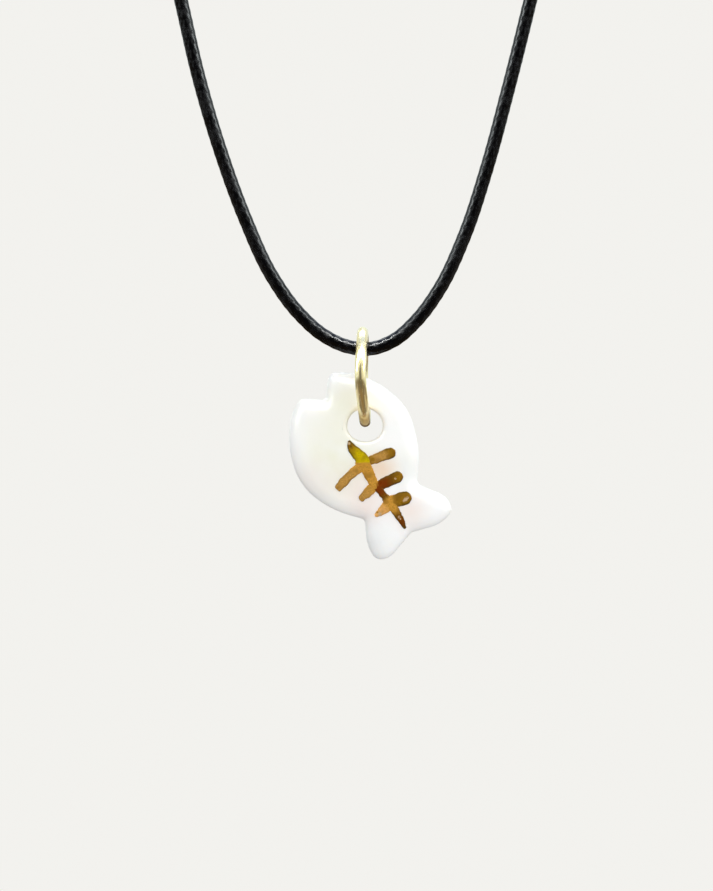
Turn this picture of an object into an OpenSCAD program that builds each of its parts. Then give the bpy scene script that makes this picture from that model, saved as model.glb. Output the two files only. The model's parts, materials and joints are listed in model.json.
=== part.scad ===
// A glazed porcelain fish charm that hangs by its eye from a jump ring, on a waxed cord necklace.
// Sizes are in millimetres. +Z is up, and the fish's painted face looks along -Y.
// The origin is where the necklace hangs: under the middle of the clasp, at the back of the neck.

/* [Fish charm] */
// Thickness of the porcelain
fish_thick = 4.2; // [3.6:0.1:4.6]
// How far in from its outline the fish's soft edge reaches
edge_round = 1; // [0.6:0.1:1]
// Diameter of the eye hole
eye_dia = 3.8; // [3.6:0.1:4.2]
// Depth of the softened rim at each end of the eye hole
eye_rim = 0.3; // [0.1:0.1:0.4]

/* [Jump ring] */
// Diameter of the ring's wire
wire_dia = 1.2; // [1:0.1:1.3]
// Outer diameter of the ring
ring_dia = 10.7; // [10.5:0.1:11.2]
// How far the ring leans, top to the left, in degrees
ring_lean = 1.5; // [0:0.5:3]
// How far the ring is turned, near side to the left, in degrees
ring_turn = 1.5; // [0:0.5:3]
// Where the ring sits along the cord, from the middle of the necklace
ring_across = 0.88; // [0.5:0.01:1.5]

/* [Cord] */
// Diameter of the waxed cord
cord_dia = 1.5; // [1.2:0.1:1.6]

/* [Clasp] */
// Length of the clasp, from cord end to cord end
clasp_len = 32; // [32]
// Diameter of its middle barrel, which rests on the neck
clasp_dia = 4.4; // [4:0.1:5]
// Length of the middle barrel
barrel_len = 14; // [10:1:18]
// Diameter of the two end caps that hold the cord
cap_dia = 3.2; // [2.6:0.1:3.6]

/* [Clearances] */
// Free height between the top of the ring and the cord inside it
cord_gap = 0.3; // [0.1:0.1:0.5]
// Free height between the ring's wire and the rims of the eye hole
eye_gap = 0.3; // [0.1:0.05:0.3]

/* [Hidden] */
$fn = 96;

// The fish's outline, clockwise from its mouth, measured from the centre of the eye hole.
// Each row is a corner of the outline before rounding: across, up, radius of its rounding, nearest hub.
fish_corners = [
    [-4.00, 5.85, 0.85, 0], // upper lip
    [0.40, 5.60, 9.00, 1], // forehead
    [4.70, 1.95, 6.00, 1], // back
    [5.85, -2.80, 10.00, 2], // back, towards the tail
    [5.45, -6.15, 0.60, 4], // notch at the root of the right fin
    [8.80, -7.45, 2.10, 4], // right fin, upper side
    [9.40, -9.15, 1.00, 4], // right fin, tip
    [7.80, -10.50, 3.00, 4], // right fin, lower side
    [4.90, -11.30, 0.50, 4], // notch between the fins
    [2.50, -14.20, 1.60, 4], // lower fin, right of its tip
    [1.00, -14.20, 0.90, 4], // lower fin, left of its tip
    [0.10, -12.30, 4.00, 4], // lower fin, left side
    [0.00, -9.90, 0.40, 4], // notch at the root of the lower fin
    [-3.70, -8.95, 10.40, 3], // belly, by the tail
    [-7.05, -6.15, 6.40, 3], // belly
    [-8.35, -1.65, 9.60, 3], // breast
    [-7.70, 1.65, 4.00, 0], // chin
    [-6.85, 3.00, 0.80, 0], // lower lip
    [-4.10, 2.75, 0.35, 0] // corner of the mouth
];
// Where the tail's two fins meet, measured in the same way
tail_hub = [3.6, -8.6];
// Points along the rounding of each corner, and steps around the fish's soft edge from face to face
corner_steps = 4;
edge_steps = 8;
// No inner corner of the soft edge is sharper than this
sharpest = 0.1;

// The cord's centreline, from the clasp's left end down to its lowest point and up to the right end.
// Each row is a point: across, and above the lowest point.
route = [
    [-16, 160.2],
    [-24.5, 159.4],
    [-32, 156.2],
    [-37.2, 150.2],
    [-39.4, 142],
    [-39.2, 132.5],
    [-37.2, 121.5],
    [-32, 98],
    [-26, 70.5],
    [-21.1, 48],
    [-18.5, 36.6],
    [-16.7, 28.8],
    [-14.4, 21],
    [-11.7, 13.6],
    [-8.9, 7.6],
    [-6, 3.6],
    [-3.4, 1.3],
    [-0.8, 0.1],
    [1.7, -0.1],
    [4.1, 0.8],
    [6.4, 2.8],
    [8.9, 6.2],
    [11.5, 11.7],
    [13.9, 18.9],
    [16.1, 27],
    [18.5, 36.6],
    [21.1, 48],
    [26, 70.5],
    [32, 98],
    [37.2, 121.5],
    [39.2, 132.5],
    [39.4, 142],
    [37.2, 150.2],
    [32, 156.2],
    [24.5, 159.4],
    [16, 160.2]
];
// Sides of the cord's tube, and rings of it between two points of the route
cord_sides = 8;
span_rings = 2;
// The cord enters both ends of the clasp along its axis
end_way = [-1, 0];

porcelain = "#f7f5f1";
pale_gold = "#cdb877";
waxed_black = "#17171a";

cord_r = cord_dia / 2;
wire_r = wire_dia / 2;
eye_r = eye_dia / 2;
half_thick = fish_thick / 2;
ring_in_r = ring_dia / 2 - wire_dia;
ring_mid_r = ring_dia / 2 - wire_r;
// Height of the cord's lowest point, below the underside of the clasp
low_z = clasp_dia / 2 - route[0][1];
ring_z = low_z + cord_r + cord_gap - ring_in_r;
// The lowest point of the wire's centreline, which the fish swings on
pivot_x = ring_across + ring_mid_r * sin(ring_lean);
pivot_z = ring_z - ring_mid_r * cos(ring_lean);
// The ring curves up on both sides of the fish, so the rims of the eye rest on it first
rim_y = half_thick - eye_rim / 2;
rim_rise = ring_in_r - sqrt(pow(ring_in_r, 2) - pow(rim_y, 2));
eye_z = pivot_z + wire_r + rim_rise + eye_gap - eye_r;

function unit(v) = v / norm(v);
function to_right(v) = [v[1], -v[0]];
function turned(v, t) = [v[0] * cos(t) - v[1] * sin(t), v[0] * sin(t) + v[1] * cos(t)];
function item(list, i) = list[(i + len(list)) % len(list)];
function place(row) = [row[0], row[1]];

// The way from a corner to the one after it
function side_way(i) = unit(place(item(fish_corners, i + 1)) - place(item(fish_corners, i)));

// The points around one rounded corner, with the whole outline drawn in by an inset
function corner_arc(i, inset) =
    let (
        a = side_way(i - 1),
        b = side_way(i),
        turn = atan2(cross(a, b), a * b),
        outer = turn < 0 ? 1 : -1,
        inward = (to_right(a) + to_right(b)) / (1 + a * b),
        r = max(fish_corners[i][2] - outer * inset, sharpest),
        centre = place(fish_corners[i]) + inward * (inset + outer * r)
    )
    [for (k = [0:corner_steps]) centre - outer * r * turned(to_right(a), turn * k / corner_steps)];

function outline(inset) = [for (i = [0:len(fish_corners) - 1]) each corner_arc(i, inset)];

// The fish without its eye hole: rings of the outline from the front face round the edge to the back.
// Each flat face is triangles from the outline to five hubs: a square round the eye, and the tail's hub.
module fish_slab() {
    hub_at = eye_r + eye_rim + 0.25;
    hubs = [[-hub_at, hub_at], [hub_at, hub_at], [hub_at, -hub_at], [-hub_at, -hub_at], tail_hub];
    arc = corner_steps + 1;
    count = len(fish_corners) * arc;
    last = edge_steps * count;
    front_hub = last + count;
    back_hub = front_hub + len(hubs);
    points = [
        for (k = [0:edge_steps])
            let (t = 180 * k / edge_steps - 90)
            for (p = outline(edge_round * (1 - cos(t)))) [p[0], half_thick * sin(t), p[1]],
        for (h = hubs) [h[0], -half_thick, h[1]],
        for (h = hubs) [h[0], half_thick, h[1]]
    ];
    function hub(i) = fish_corners[floor(i / arc)][3];
    front = [
        for (i = [0:count - 1])
            let (j = (i + 1) % count)
            each hub(i) == hub(j)
                ? [[i, j, front_hub + hub(i)]]
                : [[i, j, front_hub + hub(i)], [j, front_hub + hub(j), front_hub + hub(i)]],
        [for (h = [0:3]) front_hub + h],
        [for (h = [2, 4, 3]) front_hub + h]
    ];
    function behind(v) = v < count ? last + v : v + len(hubs);
    back = [for (f = front) [for (i = [len(f) - 1:-1:0]) behind(f[i])]];
    edge = [
        for (k = [0:edge_steps - 1])
            for (i = [0:count - 1])
                let (j = (i + 1) % count)
                each [
                    [k * count + i, (k + 1) * count + i, k * count + j],
                    [k * count + j, (k + 1) * count + i, (k + 1) * count + j]
                ]
    ];
    polyhedron(points, concat(front, back, edge), convexity = 6);
}

module eye_hole() {
    rotate([90, 0, 0]) {
        cylinder(r = eye_r, h = fish_thick + 2, center = true);
        for (side = [0, 1])
            mirror([0, 0, side])
                translate([0, 0, half_thick - eye_rim])
                    cylinder(r1 = eye_r, r2 = eye_r + 2 * eye_rim, h = 2 * eye_rim);
    }
}

module fish_charm() {
    color(porcelain)
        translate([pivot_x, 0, eye_z])
            difference() {
                fish_slab();
                eye_hole();
            }
}

module jump_ring() {
    color(pale_gold)
        translate([ring_across, 0, ring_z])
            rotate([0, -ring_lean, -ring_turn])
                rotate([0, 90, 0])
                    rotate_extrude()
                        translate([ring_mid_r, 0])
                            circle(r = wire_r, $fn = 48);
}

// The cord's way at a point of the route, from the two spans that meet there
function span(i) = norm(route[i + 1] - route[i]);
function route_way(i) =
    i == 0 || i == len(route) - 1
        ? end_way
        : let (before = span(i - 1), after = span(i))
            ((route[i] - route[i - 1]) * after / before + (route[i + 1] - route[i]) * before / after)
                / (before + after);

// A point of the smooth curve, and its way there, a part t of the way along a span
function on_curve(i, t) =
    let (a = route[i], b = route[i + 1], u = span(i) * route_way(i), v = span(i) * route_way(i + 1))
    a * (2 * pow(t, 3) - 3 * pow(t, 2) + 1) + u * (pow(t, 3) - 2 * pow(t, 2) + t)
        + b * (3 * pow(t, 2) - 2 * pow(t, 3)) + v * (pow(t, 3) - pow(t, 2));
function way_on_curve(i, t) =
    let (a = route[i], b = route[i + 1], u = span(i) * route_way(i), v = span(i) * route_way(i + 1))
    unit(6 * (b - a) * (t - pow(t, 2)) + u * (3 * pow(t, 2) - 4 * t + 1) + v * (3 * pow(t, 2) - 2 * t));

// One ring of the cord's tube
function cord_ring(i, t) =
    let (c = on_curve(i, t), n = to_right(way_on_curve(i, t)))
    [
        for (k = [0:cord_sides - 1])
            let (a = 360 * (k + 0.5) / cord_sides)
            [c[0] + cord_r * cos(a) * n[0], cord_r * sin(a), low_z + c[1] + cord_r * cos(a) * n[1]]
    ];

module cord() {
    spans = len(route) - 1;
    rings = spans * span_rings + 1;
    points = [
        for (i = [0:spans - 1])
            for (s = [0:i == spans - 1 ? span_rings : span_rings - 1])
                each cord_ring(i, s / span_rings)
    ];
    near_end = [for (k = [cord_sides - 1:-1:0]) k];
    far_end = [for (k = [0:cord_sides - 1]) (rings - 1) * cord_sides + k];
    wall = [
        for (r = [0:rings - 2])
            for (k = [0:cord_sides - 1])
                let (m = (k + 1) % cord_sides, a = r * cord_sides, b = a + cord_sides)
                each [[a + k, a + m, b + k], [a + m, b + m, b + k]]
    ];
    color(waxed_black)
        polyhedron(points, concat([near_end, far_end], wall), convexity = 6);
}

// A plain closed clasp: two end caps with a barrel between them
module clasp() {
    bevel = 0.3;
    shoulder = 1.2;
    half_profile = [
        [0, clasp_len / 2],
        [cap_dia / 2 - bevel, clasp_len / 2],
        [cap_dia / 2, clasp_len / 2 - bevel],
        [cap_dia / 2, barrel_len / 2 + shoulder],
        [clasp_dia / 2 - bevel, barrel_len / 2],
        [clasp_dia / 2, barrel_len / 2 - shoulder]
    ];
    other_half = [for (i = [len(half_profile) - 1:-1:0]) [half_profile[i][0], -half_profile[i][1]]];
    color(pale_gold)
        translate([0, 0, clasp_dia / 2])
            rotate([0, 90, 0])
                rotate_extrude()
                    polygon(concat(half_profile, other_half));
}

fish_charm();
jump_ring();
cord();
clasp();
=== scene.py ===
# %% [markdown]
# # A porcelain fish charm on a waxed cord
#
# A hand-made pendant: a glazed white porcelain fish with a fishbone painted on it in gold lustre, a
# pale-gold jump ring through its eye, and a black braided cord with a plain clasp at the back of the neck.
#
# The construction model is already measured and packed, so it is loaded first and is never moved. Every
# piece made below takes its place and size from it, in metres, with the origin under the clasp, +Z up and
# the painted face towards -Y. The whole box is measured now.

import json
import math

import bmesh
import bpy
import numpy as np
from mathutils import Matrix, Vector, geometry, noise


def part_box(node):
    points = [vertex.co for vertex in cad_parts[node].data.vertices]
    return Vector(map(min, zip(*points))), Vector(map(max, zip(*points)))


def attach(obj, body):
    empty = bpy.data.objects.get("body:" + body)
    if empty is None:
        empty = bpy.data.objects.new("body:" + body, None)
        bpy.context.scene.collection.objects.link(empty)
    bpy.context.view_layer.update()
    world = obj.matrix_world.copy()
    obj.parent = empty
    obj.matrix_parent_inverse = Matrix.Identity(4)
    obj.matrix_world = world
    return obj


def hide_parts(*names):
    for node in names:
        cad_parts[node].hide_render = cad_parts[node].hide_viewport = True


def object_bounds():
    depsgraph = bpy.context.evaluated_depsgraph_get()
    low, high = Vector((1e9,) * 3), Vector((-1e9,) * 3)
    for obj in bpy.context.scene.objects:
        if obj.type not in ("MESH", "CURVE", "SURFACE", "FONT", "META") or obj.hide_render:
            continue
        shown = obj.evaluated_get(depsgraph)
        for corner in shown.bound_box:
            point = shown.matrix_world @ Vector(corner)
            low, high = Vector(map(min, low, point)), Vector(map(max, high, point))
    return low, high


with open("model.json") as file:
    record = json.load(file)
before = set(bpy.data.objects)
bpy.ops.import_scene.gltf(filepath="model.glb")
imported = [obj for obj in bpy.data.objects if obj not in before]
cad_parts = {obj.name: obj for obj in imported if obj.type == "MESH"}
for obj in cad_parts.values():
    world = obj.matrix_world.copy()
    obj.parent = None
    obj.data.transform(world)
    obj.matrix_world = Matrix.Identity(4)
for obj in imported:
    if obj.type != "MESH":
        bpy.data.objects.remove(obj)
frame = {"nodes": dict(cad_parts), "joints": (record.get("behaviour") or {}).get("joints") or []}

MM = 0.001
cad_low, cad_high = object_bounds()
print("construction is", [round(side / MM, 1) for side in cad_high - cad_low], "mm")

# %% [markdown]
# ## The camera
#
# The pendant was seen straight on and from far off, so that near and far parts keep almost the same size. A
# long lens does the same here. One millimetre of the pendant is 9.4 pixels in the picture, which gives how
# much the camera has to see, and with the lens how far away it stands. The cord's lowest point is a good
# landmark: the camera is moved across and up until that point falls on its pixel.

# %% Place the camera
PICTURE_WIDE, PICTURE_TALL = 713, 891
PIXELS_PER_MM = 9.4
CORD_BOTTOM_PIXEL = (355.65, 347.6)
CORD_BOTTOM = -158.0 * MM
LENS_LENGTH = 150.0
SENSOR_TALL = 36.0
NEAREST, FARTHEST = 0.01, 20.0

view_tall = PICTURE_TALL / PIXELS_PER_MM * MM
camera_x = (PICTURE_WIDE / 2 - CORD_BOTTOM_PIXEL[0]) / PIXELS_PER_MM * MM
camera_z = CORD_BOTTOM + (CORD_BOTTOM_PIXEL[1] - PICTURE_TALL / 2) / PIXELS_PER_MM * MM
camera_away = view_tall * LENS_LENGTH / SENSOR_TALL

lens = bpy.data.cameras.new("long_lens")
lens.lens = LENS_LENGTH
lens.sensor_width = SENSOR_TALL
lens.clip_start = NEAREST
lens.clip_end = FARTHEST
camera = bpy.data.objects.new("camera", lens)
camera.location = (camera_x, -camera_away, camera_z)
camera.rotation_euler = (math.radians(90), 0, 0)
bpy.context.scene.collection.objects.link(camera)
bpy.context.scene.camera = camera
print("camera stands", round(camera_away, 3), "m away and sees", round(view_tall / MM, 1), "mm")

# %% [markdown]
# ## The cord's route
#
# The cord is 368 mm long, and with the 32 mm clasp it makes a 40 cm necklace. It hangs from the clasp at
# the back of the neck and carries the charm at its lowest point, off to one side of the curve because the
# ring has slid a little. These points are the same as the construction's, in millimetres across
# and above the cord's lowest point. A smooth curve through them is what the braid will follow.

# %% Draw the cord's centreline
CORD_POINTS = [
    (-16, 160.2), (-24.5, 159.4), (-32, 156.2), (-37.2, 150.2), (-39.4, 142), (-39.2, 132.5),
    (-37.2, 121.5), (-32, 98), (-26, 70.5), (-21.1, 48), (-18.5, 36.6), (-16.7, 28.8),
    (-14.4, 21), (-11.7, 13.6), (-8.9, 7.6), (-6, 3.6), (-3.4, 1.3), (-0.8, 0.1),
    (1.7, -0.1), (4.1, 0.8), (6.4, 2.8), (8.9, 6.2), (11.5, 11.7), (13.9, 18.9),
    (16.1, 27), (18.5, 36.6), (21.1, 48), (26, 70.5), (32, 98), (37.2, 121.5),
    (39.2, 132.5), (39.4, 142), (37.2, 150.2), (32, 156.2), (24.5, 159.4), (16, 160.2),
]
CORD_DIAMETER = 1.5 * MM
CORD_END_WAY = Vector((-1, 0, 0))
STEPS_PER_SPAN = 24

route = [Vector((across * MM, 0, CORD_BOTTOM + up * MM)) for across, up in CORD_POINTS]


def ways_along(points, end_way):
    """The curve's direction at each point, from the two spans that meet there."""
    ways = [end_way]
    for before, here, after in zip(points, points[1:], points[2:]):
        near = (here - before).length
        far = (after - here).length
        ways.append(((here - before) * far / near + (after - here) * near / far) / (near + far))
    return ways + [end_way]


def smooth_line(points, ways, steps):
    """Points along the smooth curve through given points, a number of steps to each span."""
    line = [points[0]]
    for here, there, leave, arrive in zip(points, points[1:], ways, ways[1:]):
        span = (there - here).length
        for step in range(1, steps + 1):
            t = step / steps
            line.append(
                here * (2 * t**3 - 3 * t**2 + 1)
                + leave * span * (t**3 - 2 * t**2 + t)
                + there * (3 * t**2 - 2 * t**3)
                + arrive * span * (t**3 - t**2)
            )
    return line


cord_line = smooth_line(route, ways_along(route, CORD_END_WAY), STEPS_PER_SPAN)
cord_length = sum((b - a).length for a, b in zip(cord_line, cord_line[1:]))
print("cord is", round(cord_length / MM, 1), "mm long, through", len(route), "hand-set points")

# %% [markdown]
# ## Numbers inside a node tree
#
# Shapes and finishes below are both made of node trees, and a tree that is wired by hand is long to read.
# `Number` wraps a socket, so that a rule can be written as plain arithmetic: `a * 2 + b` adds the two Math
# nodes that it needs. The same Math node works in a shape's tree and in a finish's tree, so one rule can
# drive both.

# %% Plain arithmetic in a node tree
class Number:
    """A number inside a node tree, which plain arithmetic can use."""

    def __init__(self, tree, socket):
        self.tree = tree
        self.socket = socket

    def rule(self, operation, *others):
        """The result of a Math node on this number and others."""
        step = self.tree.nodes.new("ShaderNodeMath")
        step.operation = operation
        for entry, value in zip(step.inputs, (self, *others)):
            plug(self.tree, entry, value)
        return Number(self.tree, step.outputs[0])

    def __add__(self, other):
        return self.rule("ADD", other)

    def __sub__(self, other):
        return self.rule("SUBTRACT", other)

    def __mul__(self, other):
        return self.rule("MULTIPLY", other)

    def __truediv__(self, other):
        return self.rule("DIVIDE", other)

    def between(self, low, high):
        """0 below low, 1 above high, and a smooth step from one to the other."""
        step = self.tree.nodes.new("ShaderNodeMapRange")
        step.interpolation_type = "SMOOTHSTEP"
        for entry, value in zip(step.inputs, (self, low, high)):
            plug(self.tree, entry, value)
        return Number(self.tree, step.outputs[0])


def plug(tree, entry, value):
    """Gives a node's entry a constant, or wires it to another node's socket."""
    if isinstance(value, Number):
        value = value.socket
    if isinstance(value, bpy.types.NodeSocket):
        tree.links.new(value, entry)
    else:
        entry.default_value = value


trial = bpy.data.node_groups.new("trial", "ShaderNodeTree")
start = Number(trial, trial.nodes.new("ShaderNodeValue").outputs[0])
wired = (start * 2.0 + 1.0).tree.nodes
print("a number times 2 plus 1 takes", len(wired) - 1, "Math nodes")
bpy.data.node_groups.remove(trial)

# %% [markdown]
# `add` makes one node and wires its entries in a single call. A place in space is one socket with three
# numbers in it, which `split` takes apart and `joined` puts together, and `distance` measures between two
# places.

# %% Make and wire a node
def fill(tree, node, entries):
    """Plugs values or sockets into a node's entries."""
    for entry, value in entries.items():
        plug(tree, node.inputs[entry], value)


def add(tree, kind, entries=None, **settings):
    """Makes a node with its own settings, and plugs values or sockets into its entries."""
    made = tree.nodes.new(kind)
    for setting, value in settings.items():
        setattr(made, setting, value)
    fill(tree, made, entries or {})
    return made


def split(tree, vector):
    """The three numbers of a place or a way."""
    return [Number(tree, out) for out in add(tree, "ShaderNodeSeparateXYZ", {0: vector}).outputs]


def joined(tree, x=0.0, y=0.0, z=0.0):
    """A place or a way from three numbers."""
    return add(tree, "ShaderNodeCombineXYZ", {0: x, 1: y, 2: z}).outputs[0]


def distance(tree, here, there=(0.0, 0.0, 0.0)):
    """How far one place is from another."""
    gap = add(tree, "ShaderNodeVectorMath", {0: here, 1: there}, operation="DISTANCE")
    return Number(tree, gap.outputs["Value"])


trial = bpy.data.node_groups.new("trial", "ShaderNodeTree")
distance(trial, joined(trial, 1.0, 2.0, 3.0))
print("a distance is wired as", [node.bl_label for node in trial.nodes])
bpy.data.node_groups.remove(trial)

# %% [markdown]
# ## The braid
#
# Waxed cord of this kind is braided round a core: eight strands wind one way and eight the other, and each
# dives under every second strand that it meets. On the surface that shows as rows of small oval floats,
# staggered like bricks. A picture of a braid on a smooth tube would look flat in a close view, so the tube
# itself is shaped.
#
# The rule needs only two numbers for each point: how far round the cord it is, and how far along, in turns
# of the braid. Their difference counts the strands of one hand and their sum those of the other. Rounding
# both gives the crossing that the point belongs to, and whether that crossing is odd or even says which
# strand lies on top.

# %% The rule of the braid
STRANDS_EACH_WAY = 8
BRAID_TURN = 8.8 * MM
BRAID_RELIEF = 0.03 * MM
FLOAT_FULLNESS = 0.6


def strand_place(around, along):
    """Where a point lies on the strand on top there: across it and along it, each from -0.5 to 0.5."""
    first = (around - along) * STRANDS_EACH_WAY
    second = (around + along) * STRANDS_EACH_WAY
    first_cell = first.rule("ROUND")
    second_cell = second.rule("ROUND")
    odd = (first_cell + second_cell).rule("PINGPONG", 1.0)
    off_first = first - first_cell
    off_second = second - second_cell
    across = off_first + (off_second - off_first) * odd
    lengthwise = off_second + (off_first - off_second) * odd
    return across, lengthwise


def strand_height(across, lengthwise):
    """How high a strand's oval float stands, from 0 in the gaps to 1 on its crest."""
    crown = (across * math.pi).rule("COSINE").rule("MAXIMUM", 0.0)
    dive = (lengthwise * math.pi).rule("COSINE").rule("MAXIMUM", 0.0).rule("POWER", FLOAT_FULLNESS)
    return crown * dive


float_wide = math.pi * CORD_DIAMETER / STRANDS_EACH_WAY
float_long = BRAID_TURN / STRANDS_EACH_WAY
print("each float is", round(float_wide / MM, 2), "mm wide and", round(float_long / MM, 2), "mm long")

# %% [markdown]
# ## Trees that grow a shape
#
# A braid, a ring and painted strokes all follow a line, which Geometry Nodes do well: the line is the
# input, and the tree sweeps and shapes it. Each tree has named entries for its sizes, so the same tree
# could make another size. A value that is kept on the way, such as how far along the line a point is, can
# still be read once the shape is swept. A tree ends in Realize Instances and Set Material.

# %% Parts that every tree has
def new_tree(name, entries):
    """A Geometry Nodes tree with named entries, and the entries' sockets."""
    tree = bpy.data.node_groups.new(name, "GeometryNodeTree")
    tree.interface.new_socket("Geometry", in_out="OUTPUT", socket_type="NodeSocketGeometry")
    tree.interface.new_socket("Geometry", in_out="INPUT", socket_type="NodeSocketGeometry")
    for entry, kind in entries.items():
        tree.interface.new_socket(entry, in_out="INPUT", socket_type="NodeSocket" + kind)
    return tree, tree.nodes.new("NodeGroupInput").outputs


def keep_value(tree, shape, kind, value):
    """Keeps a value with the geometry as it is now, and gives the geometry and the kept value."""
    step = tree.nodes.new("GeometryNodeCaptureAttribute")
    step.capture_items.new(kind, "kept")
    plug(tree, step.inputs["Geometry"], shape)
    plug(tree, step.inputs["kept"], value)
    return step.outputs["Geometry"], step.outputs["kept"]


def store_value(tree, shape, kind, domain, name, value):
    """Writes a value into the mesh under a name, where a finish can read it."""
    settings = {"data_type": kind, "domain": domain}
    entries = {"Geometry": shape, "Name": name, "Value": value}
    return add(tree, "GeometryNodeStoreNamedAttribute", entries, **settings).outputs[0]


def close_tree(tree, shape, finish):
    """Ends a tree: smooth shading, real geometry and its finish."""
    soft = add(tree, "GeometryNodeSetShadeSmooth", {"Geometry": shape})
    whole = add(tree, "GeometryNodeRealizeInstances", {"Geometry": soft.outputs[0]})
    painted = add(tree, "GeometryNodeSetMaterial", {"Geometry": whole.outputs[0], "Material": finish})
    tree.links.new(painted.outputs[0], tree.nodes.new("NodeGroupOutput").inputs[0])


def circle(tree, sides, radius):
    """A round profile or path."""
    return add(tree, "GeometryNodeCurvePrimitiveCircle", {"Resolution": sides, "Radius": radius}).outputs[0]


trial, entries = new_tree("trial", {"Size": "Float"})
print("a new tree's entries are", [socket.name for socket in entries if socket.name])
bpy.data.node_groups.remove(trial)

# %% [markdown]
# The braid's tree sweeps a circle along the centreline, keeps for each point how far round and along it is,
# and pulls the gaps between the floats in towards the core. It also writes both numbers into a UV map for
# the finish. On the one row of faces where the circle closes, the number round the cord would jump from
# almost 1 back to 0, so there it goes on to 1 instead.

# %% The tree of the braid
SEAM_JUMP = 0.25


def braid_tree():
    tree, entry = new_tree("waxed_braid", {
        "Cord radius": "Float", "Sides": "Int", "Rings": "Int",
        "Braid turn": "Float", "Relief": "Float", "Finish": "Material",
    })
    way = add(tree, "GeometryNodeSplineParameter")
    place = add(tree, "GeometryNodeInputPosition").outputs[0]
    line = add(tree, "GeometryNodeMeshToCurve", {"Mesh": entry["Geometry"]})
    even = add(tree, "GeometryNodeResampleCurve", {"Curve": line.outputs[0], "Count": entry["Rings"]})
    core, length = keep_value(tree, even.outputs[0], "FLOAT", way.outputs["Length"])
    core, centre = keep_value(tree, core, "VECTOR", place)
    hoop = circle(tree, entry["Sides"], entry["Cord radius"])
    hoop, factor = keep_value(tree, hoop, "FLOAT", way.outputs["Factor"])
    tube = add(tree, "GeometryNodeCurveToMesh", {"Curve": core, "Profile Curve": hoop, "Fill Caps": True})

    around = Number(tree, factor)
    along = Number(tree, length) / entry["Braid turn"]
    depth = (strand_height(*strand_place(around, along)) - 1.0) * entry["Relief"]
    spoke = add(tree, "ShaderNodeVectorMath", {0: place, 1: centre}, operation="SUBTRACT")
    outward = add(tree, "ShaderNodeVectorMath", {0: spoke.outputs[0]}, operation="NORMALIZE")
    shift = add(tree, "ShaderNodeVectorMath", {0: outward.outputs[0], "Scale": depth}, operation="SCALE")
    braided = add(tree, "GeometryNodeSetPosition", {"Geometry": tube.outputs[0], "Offset": shift.outputs[0]})

    face_around = add(tree, "GeometryNodeFieldOnDomain", {0: around}, domain="FACE", data_type="FLOAT")
    wraps = (Number(tree, face_around.outputs[0]) - around).rule("GREATER_THAN", SEAM_JUMP)
    chart = joined(tree, around + wraps, along)
    mapped = store_value(tree, braided.outputs[0], "FLOAT2", "CORNER", "UVMap", chart)
    close_tree(tree, mapped, entry["Finish"])
    return tree


waxed_braid = braid_tree()
print("braid tree holds", len(waxed_braid.nodes), "nodes")

# %% [markdown]
# ## What a finish is made of
#
# A finish is a material whose colour, gloss and bumps come from small node rules. Few real surfaces are
# even, so each finish starts from speckle, a soft noise whose size is stated in blobs to the metre. Its
# blobs are turned into patches by `between`, and the patches mix two colours or change the gloss. A value
# that is the same all over goes straight onto the surface shader.

# %% Parts that every finish has
# between which two values of a speckle its blobs fade in
SPECKLE_SPAN = (0.38, 0.66)
WIDE_SPAN = (0.35, 0.65)
MOSTLY = (0.1, 0.5)


def new_finish(name):
    """An empty finish: its material, its tree and its surface shader."""
    finish = bpy.data.materials.new(name)
    finish.use_nodes = True
    tree = finish.node_tree
    return finish, tree, next(node for node in tree.nodes if node.type == "BSDF_PRINCIPLED")


def mix_colour(tree, amount, first, second):
    """A colour between two others."""
    step = add(tree, "ShaderNodeMix", {"Factor": amount}, data_type="RGBA")
    colours = [entry for entry in step.inputs if entry.type == "RGBA"]
    plug(tree, colours[0], first)
    plug(tree, colours[1], second)
    return next(out for out in step.outputs if out.type == "RGBA")


def speckle(tree, vector, scale, seed, detail=3.0):
    """Soft noise from about 0.3 to 0.7, at so many blobs to the unit of its vector."""
    settings = {"Vector": vector, "Scale": scale, "Detail": detail, "W": seed}
    return Number(tree, add(tree, "ShaderNodeTexNoise", settings, noise_dimensions="4D").outputs[0])


def raise_surface(tree, surface, height, depth, strength=1.0):
    """Bumps the shader's surface by a height."""
    entries = {"Height": height, "Distance": depth, "Strength": strength}
    tree.links.new(add(tree, "ShaderNodeBump", entries).outputs[0], surface.inputs["Normal"])


trial = new_finish("trial")[0]
print("a new finish holds", sorted(node.name for node in trial.node_tree.nodes))
bpy.data.materials.remove(trial)

# %% [markdown]
# ## The cord's finish
#
# Black wax fills the thread: it looks almost black face on, and shines only where a float faces the light.
# So the colour is a near-black that is a little greyer on the worn crests, the gloss comes from a low
# reflection, and fine ridges along each strand show the threads under the wax. The threads follow the
# strands, so the finish reads the UV map and uses the very rule that shaped the braid.

# %% The waxed finish
WAX_BLACK = (0.0015, 0.0015, 0.002, 1)
WAX_WORN = (0.005, 0.005, 0.0065, 1)
WORN_CRESTS = (0.55, 1.0)
WAX_ROUGH, WAX_UNEVEN = 0.13, 0.2
WAX_BUMP = 0.008 * MM
THREADS_PER_STRAND = 5
BLOTCHES_PER_M, GRAINS_PER_M, LUMPS_PER_M = 900.0, 3000.0, 1000.0
THREAD_SHARE, GRAIN_SHARE, LUMP_SHARE = 0.06, 0.6, 5.0


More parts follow.
